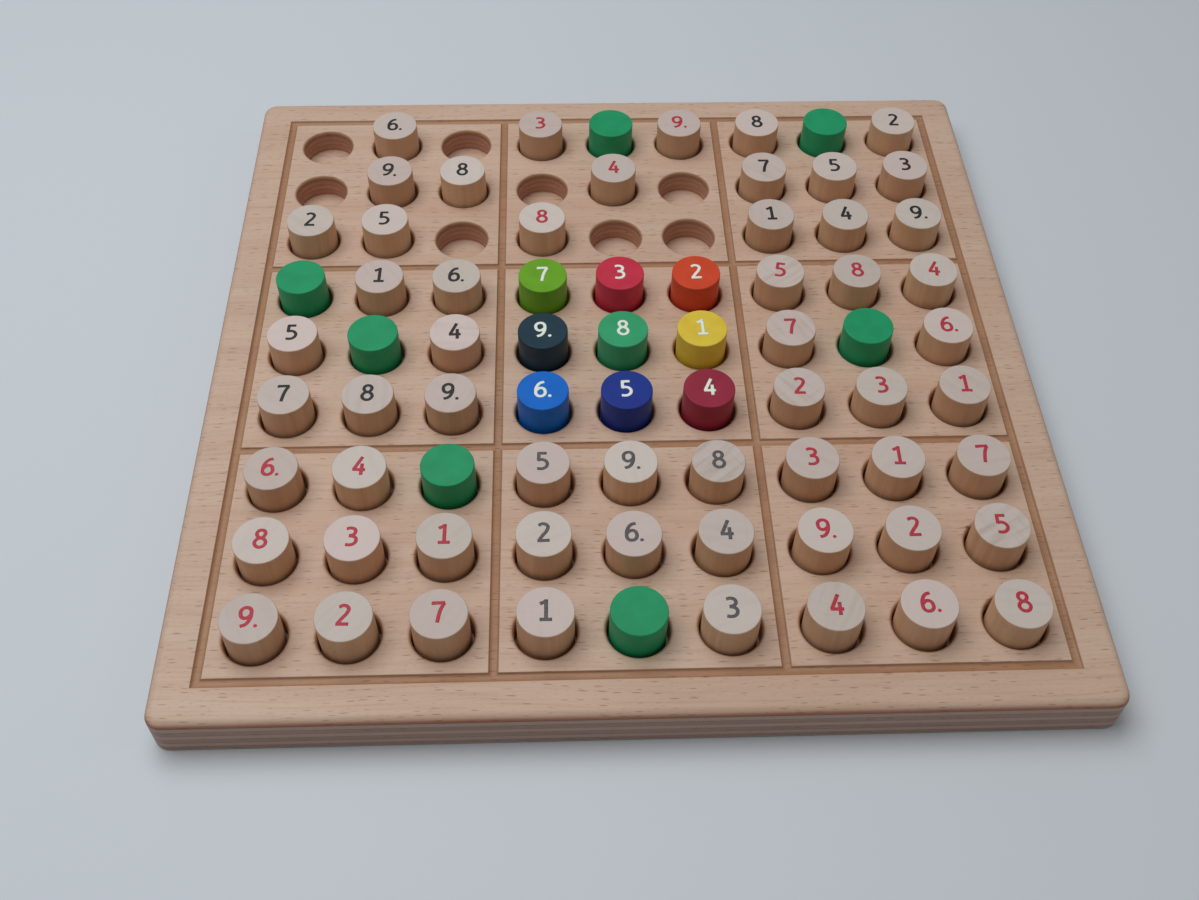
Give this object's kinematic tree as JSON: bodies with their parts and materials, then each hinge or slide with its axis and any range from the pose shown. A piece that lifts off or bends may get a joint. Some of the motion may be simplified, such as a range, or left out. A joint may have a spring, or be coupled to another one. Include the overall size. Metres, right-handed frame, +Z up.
{
  "type": "sudoku peg board",
  "caption": "Square multi-ply wooden board with a grooved grid of blind round sockets that hold loose wooden number pegs and blank pegs; the pegs pull straight up.",
  "frame": {"origin": "centre of the board's flat underside", "axes": "+Z up out of the sockets; +Y from the near row to the far row; +X from the left column to the right column"},
  "size_m": [0.296, 0.296, 0.0263],
  "materials": {
    "beech_ply": "clear satin oil",
    "beech_dowel": "sanded, clear matt finish",
    "green_lacquer": "satin lacquer on wood",
    "lime_lacquer": "satin lacquer on wood",
    "raspberry_lacquer": "satin lacquer on wood",
    "vermilion_lacquer": "satin lacquer on wood",
    "petrol_lacquer": "satin lacquer on wood",
    "leaf_green_lacquer": "satin lacquer on wood",
    "yellow_lacquer": "satin lacquer on wood",
    "blue_lacquer": "satin lacquer on wood",
    "dark_blue_lacquer": "satin lacquer on wood",
    "wine_lacquer": "satin lacquer on wood",
    "black_ink": "printed ink",
    "red_ink": "printed ink",
    "grey_ink": "printed ink",
    "white_ink": "printed ink"
  },
  "bodies": {
    "board": {"board": "beech_ply"},
    "peg_r1c2": {"natural_peg_r1c2": "beech_dowel"},
    "peg_r1c4": {"natural_peg_r1c4": "beech_dowel"},
    "peg_r1c5": {"green_peg_r1c5": "green_lacquer"},
    "peg_r1c6": {"natural_peg_r1c6": "beech_dowel"},
    "peg_r1c7": {"natural_peg_r1c7": "beech_dowel"},
    "peg_r1c8": {"green_peg_r1c8": "green_lacquer"},
    "peg_r1c9": {"natural_peg_r1c9": "beech_dowel"},
    "peg_r2c2": {"natural_peg_r2c2": "beech_dowel"},
    "peg_r2c3": {"natural_peg_r2c3": "beech_dowel"},
    "peg_r2c5": {"natural_peg_r2c5": "beech_dowel"},
    "peg_r2c7": {"natural_peg_r2c7": "beech_dowel"},
    "peg_r2c9": {"natural_peg_r2c9": "beech_dowel"},
    "peg_r3c1": {"natural_peg_r3c1": "beech_dowel"},
    "peg_r3c2": {"natural_peg_r3c2": "beech_dowel"},
    "peg_r3c4": {"natural_peg_r3c4": "beech_dowel"},
    "peg_r3c8": {"natural_peg_r3c8": "beech_dowel"},
    "peg_r3c9": {"natural_peg_r3c9": "beech_dowel"},
    "peg_r4c1": {"green_peg_r4c1": "green_lacquer"},
    "peg_r4c3": {"natural_peg_r4c3": "beech_dowel"},
    "peg_r4c4": {"lime_peg_r4c4": "lime_lacquer"},
    "peg_r4c5": {"raspberry_peg_r4c5": "raspberry_lacquer"},
    "peg_r4c6": {"vermilion_peg_r4c6": "vermilion_lacquer"},
    "peg_r4c7": {"natural_peg_r4c7": "beech_dowel"},
    "peg_r4c9": {"natural_peg_r4c9": "beech_dowel"},
    "peg_r5c1": {"natural_peg_r5c1": "beech_dowel"},
    "peg_r5c2": {"green_peg_r5c2": "green_lacquer"},
    "peg_r5c4": {"petrol_peg_r5c4": "petrol_lacquer"},
    "peg_r5c5": {"leaf_green_peg_r5c5": "leaf_green_lacquer"},
    "peg_r5c6": {"yellow_peg_r5c6": "yellow_lacquer"},
    "peg_r5c8": {"green_peg_r5c8": "green_lacquer"},
    "peg_r5c9": {"natural_peg_r5c9": "beech_dowel"},
    "peg_r6c1": {"natural_peg_r6c1": "beech_dowel"},
    "peg_r6c3": {"natural_peg_r6c3": "beech_dowel"},
    "peg_r6c4": {"blue_peg_r6c4": "blue_lacquer"},
    "peg_r6c5": {"dark_blue_peg_r6c5": "dark_blue_lacquer"},
    "peg_r6c6": {"wine_peg_r6c6": "wine_lacquer"},
    "peg_r6c7": {"natural_peg_r6c7": "beech_dowel"},
    "peg_r6c9": {"natural_peg_r6c9": "beech_dowel"},
    "peg_r7c1": {"natural_peg_r7c1": "beech_dowel"},
    "peg_r7c2": {"natural_peg_r7c2": "beech_dowel"},
    "peg_r7c3": {"green_peg_r7c3": "green_lacquer"},
    "peg_r7c4": {"natural_peg_r7c4": "beech_dowel"},
    "peg_r7c6": {"natural_peg_r7c6": "beech_dowel"},
    "peg_r7c8": {"natural_peg_r7c8": "beech_dowel"},
    "peg_r7c9": {"natural_peg_r7c9": "beech_dowel"},
    "peg_r8c1": {"natural_peg_r8c1": "beech_dowel"},
    "peg_r8c3": {"natural_peg_r8c3": "beech_dowel"},
    "peg_r8c5": {"natural_peg_r8c5": "beech_dowel"},
    "peg_r8c7": {"natural_peg_r8c7": "beech_dowel"},
    "peg_r8c9": {"natural_peg_r8c9": "beech_dowel"},
    "peg_r9c1": {"natural_peg_r9c1": "beech_dowel"},
    "peg_r9c2": {"natural_peg_r9c2": "beech_dowel"},
    "peg_r9c3": {"natural_peg_r9c3": "beech_dowel"},
    "peg_r9c4": {"natural_peg_r9c4": "beech_dowel"},
    "peg_r9c5": {"green_peg_r9c5": "green_lacquer"},
    "peg_r9c6": {"natural_peg_r9c6": "beech_dowel"},
    "peg_r9c7": {"natural_peg_r9c7": "beech_dowel"},
    "peg_r9c8": {"natural_peg_r9c8": "beech_dowel"},
    "peg_r9c9": {"natural_peg_r9c9": "beech_dowel"}
  },
  "joints": [
    {"name": "lift_r1c2", "type": "slide", "parent": "board", "child": "peg_r1c2", "axis": [0, 0, 1], "range_m": [0, 0.024]},
    {"name": "lift_r1c4", "type": "slide", "parent": "board", "child": "peg_r1c4", "axis": [0, 0, 1], "range_m": [0, 0.024]},
    {"name": "lift_r1c5", "type": "slide", "parent": "board", "child": "peg_r1c5", "axis": [0, 0, 1], "range_m": [0, 0.024]},
    {"name": "lift_r1c6", "type": "slide", "parent": "board", "child": "peg_r1c6", "axis": [0, 0, 1], "range_m": [0, 0.024]},
    {"name": "lift_r1c7", "type": "slide", "parent": "board", "child": "peg_r1c7", "axis": [0, 0, 1], "range_m": [0, 0.024]},
    {"name": "lift_r1c8", "type": "slide", "parent": "board", "child": "peg_r1c8", "axis": [0, 0, 1], "range_m": [0, 0.024]},
    {"name": "lift_r1c9", "type": "slide", "parent": "board", "child": "peg_r1c9", "axis": [0, 0, 1], "range_m": [0, 0.024]},
    {"name": "lift_r2c2", "type": "slide", "parent": "board", "child": "peg_r2c2", "axis": [0, 0, 1], "range_m": [0, 0.024]},
    {"name": "lift_r2c3", "type": "slide", "parent": "board", "child": "peg_r2c3", "axis": [0, 0, 1], "range_m": [0, 0.024]},
    {"name": "lift_r2c5", "type": "slide", "parent": "board", "child": "peg_r2c5", "axis": [0, 0, 1], "range_m": [0, 0.024]},
    {"name": "lift_r2c7", "type": "slide", "parent": "board", "child": "peg_r2c7", "axis": [0, 0, 1], "range_m": [0, 0.024]},
    {"name": "lift_r2c9", "type": "slide", "parent": "board", "child": "peg_r2c9", "axis": [0, 0, 1], "range_m": [0, 0.024]},
    {"name": "lift_r3c1", "type": "slide", "parent": "board", "child": "peg_r3c1", "axis": [0, 0, 1], "range_m": [0, 0.024]},
    {"name": "lift_r3c2", "type": "slide", "parent": "board", "child": "peg_r3c2", "axis": [0, 0, 1], "range_m": [0, 0.024]},
    {"name": "lift_r3c4", "type": "slide", "parent": "board", "child": "peg_r3c4", "axis": [0, 0, 1], "range_m": [0, 0.024]},
    {"name": "lift_r3c8", "type": "slide", "parent": "board", "child": "peg_r3c8", "axis": [0, 0, 1], "range_m": [0, 0.024]},
    {"name": "lift_r3c9", "type": "slide", "parent": "board", "child": "peg_r3c9", "axis": [0, 0, 1], "range_m": [0, 0.024]},
    {"name": "lift_r4c1", "type": "slide", "parent": "board", "child": "peg_r4c1", "axis": [0, 0, 1], "range_m": [0, 0.024]},
    {"name": "lift_r4c3", "type": "slide", "parent": "board", "child": "peg_r4c3", "axis": [0, 0, 1], "range_m": [0, 0.024]},
    {"name": "lift_r4c4", "type": "slide", "parent": "board", "child": "peg_r4c4", "axis": [0, 0, 1], "range_m": [0, 0.024]},
    {"name": "lift_r4c5", "type": "slide", "parent": "board", "child": "peg_r4c5", "axis": [0, 0, 1], "range_m": [0, 0.024]},
    {"name": "lift_r4c6", "type": "slide", "parent": "board", "child": "peg_r4c6", "axis": [0, 0, 1], "range_m": [0, 0.024]},
    {"name": "lift_r4c7", "type": "slide", "parent": "board", "child": "peg_r4c7", "axis": [0, 0, 1], "range_m": [0, 0.024]},
    {"name": "lift_r4c9", "type": "slide", "parent": "board", "child": "peg_r4c9", "axis": [0, 0, 1], "range_m": [0, 0.024]},
    {"name": "lift_r5c1", "type": "slide", "parent": "board", "child": "peg_r5c1", "axis": [0, 0, 1], "range_m": [0, 0.024]},
    {"name": "lift_r5c2", "type": "slide", "parent": "board", "child": "peg_r5c2", "axis": [0, 0, 1], "range_m": [0, 0.024]},
    {"name": "lift_r5c4", "type": "slide", "parent": "board", "child": "peg_r5c4", "axis": [0, 0, 1], "range_m": [0, 0.024]},
    {"name": "lift_r5c5", "type": "slide", "parent": "board", "child": "peg_r5c5", "axis": [0, 0, 1], "range_m": [0, 0.024]},
    {"name": "lift_r5c6", "type": "slide", "parent": "board", "child": "peg_r5c6", "axis": [0, 0, 1], "range_m": [0, 0.024]},
    {"name": "lift_r5c8", "type": "slide", "parent": "board", "child": "peg_r5c8", "axis": [0, 0, 1], "range_m": [0, 0.024]},
    {"name": "lift_r5c9", "type": "slide", "parent": "board", "child": "peg_r5c9", "axis": [0, 0, 1], "range_m": [0, 0.024]},
    {"name": "lift_r6c1", "type": "slide", "parent": "board", "child": "peg_r6c1", "axis": [0, 0, 1], "range_m": [0, 0.024]},
    {"name": "lift_r6c3", "type": "slide", "parent": "board", "child": "peg_r6c3", "axis": [0, 0, 1], "range_m": [0, 0.024]},
    {"name": "lift_r6c4", "type": "slide", "parent": "board", "child": "peg_r6c4", "axis": [0, 0, 1], "range_m": [0, 0.024]},
    {"name": "lift_r6c5", "type": "slide", "parent": "board", "child": "peg_r6c5", "axis": [0, 0, 1], "range_m": [0, 0.024]},
    {"name": "lift_r6c6", "type": "slide", "parent": "board", "child": "peg_r6c6", "axis": [0, 0, 1], "range_m": [0, 0.024]},
    {"name": "lift_r6c7", "type": "slide", "parent": "board", "child": "peg_r6c7", "axis": [0, 0, 1], "range_m": [0, 0.024]},
    {"name": "lift_r6c9", "type": "slide", "parent": "board", "child": "peg_r6c9", "axis": [0, 0, 1], "range_m": [0, 0.024]},
    {"name": "lift_r7c1", "type": "slide", "parent": "board", "child": "peg_r7c1", "axis": [0, 0, 1], "range_m": [0, 0.024]},
    {"name": "lift_r7c2", "type": "slide", "parent": "board", "child": "peg_r7c2", "axis": [0, 0, 1], "range_m": [0, 0.024]},
    {"name": "lift_r7c3", "type": "slide", "parent": "board", "child": "peg_r7c3", "axis": [0, 0, 1], "range_m": [0, 0.024]},
    {"name": "lift_r7c4", "type": "slide", "parent": "board", "child": "peg_r7c4", "axis": [0, 0, 1], "range_m": [0, 0.024]},
    {"name": "lift_r7c6", "type": "slide", "parent": "board", "child": "peg_r7c6", "axis": [0, 0, 1], "range_m": [0, 0.024]},
    {"name": "lift_r7c8", "type": "slide", "parent": "board", "child": "peg_r7c8", "axis": [0, 0, 1], "range_m": [0, 0.024]},
    {"name": "lift_r7c9", "type": "slide", "parent": "board", "child": "peg_r7c9", "axis": [0, 0, 1], "range_m": [0, 0.024]},
    {"name": "lift_r8c1", "type": "slide", "parent": "board", "child": "peg_r8c1", "axis": [0, 0, 1], "range_m": [0, 0.024]},
    {"name": "lift_r8c3", "type": "slide", "parent": "board", "child": "peg_r8c3", "axis": [0, 0, 1], "range_m": [0, 0.024]},
    {"name": "lift_r8c5", "type": "slide", "parent": "board", "child": "peg_r8c5", "axis": [0, 0, 1], "range_m": [0, 0.024]},
    {"name": "lift_r8c7", "type": "slide", "parent": "board", "child": "peg_r8c7", "axis": [0, 0, 1], "range_m": [0, 0.024]},
    {"name": "lift_r8c9", "type": "slide", "parent": "board", "child": "peg_r8c9", "axis": [0, 0, 1], "range_m": [0, 0.024]},
    {"name": "lift_r9c1", "type": "slide", "parent": "board", "child": "peg_r9c1", "axis": [0, 0, 1], "range_m": [0, 0.024]},
    {"name": "lift_r9c2", "type": "slide", "parent": "board", "child": "peg_r9c2", "axis": [0, 0, 1], "range_m": [0, 0.024]},
    {"name": "lift_r9c3", "type": "slide", "parent": "board", "child": "peg_r9c3", "axis": [0, 0, 1], "range_m": [0, 0.024]},
    {"name": "lift_r9c4", "type": "slide", "parent": "board", "child": "peg_r9c4", "axis": [0, 0, 1], "range_m": [0, 0.024]},
    {"name": "lift_r9c5", "type": "slide", "parent": "board", "child": "peg_r9c5", "axis": [0, 0, 1], "range_m": [0, 0.024]},
    {"name": "lift_r9c6", "type": "slide", "parent": "board", "child": "peg_r9c6", "axis": [0, 0, 1], "range_m": [0, 0.024]},
    {"name": "lift_r9c7", "type": "slide", "parent": "board", "child": "peg_r9c7", "axis": [0, 0, 1], "range_m": [0, 0.024]},
    {"name": "lift_r9c8", "type": "slide", "parent": "board", "child": "peg_r9c8", "axis": [0, 0, 1], "range_m": [0, 0.024]},
    {"name": "lift_r9c9", "type": "slide", "parent": "board", "child": "peg_r9c9", "axis": [0, 0, 1], "range_m": [0, 0.024]}
  ]
}
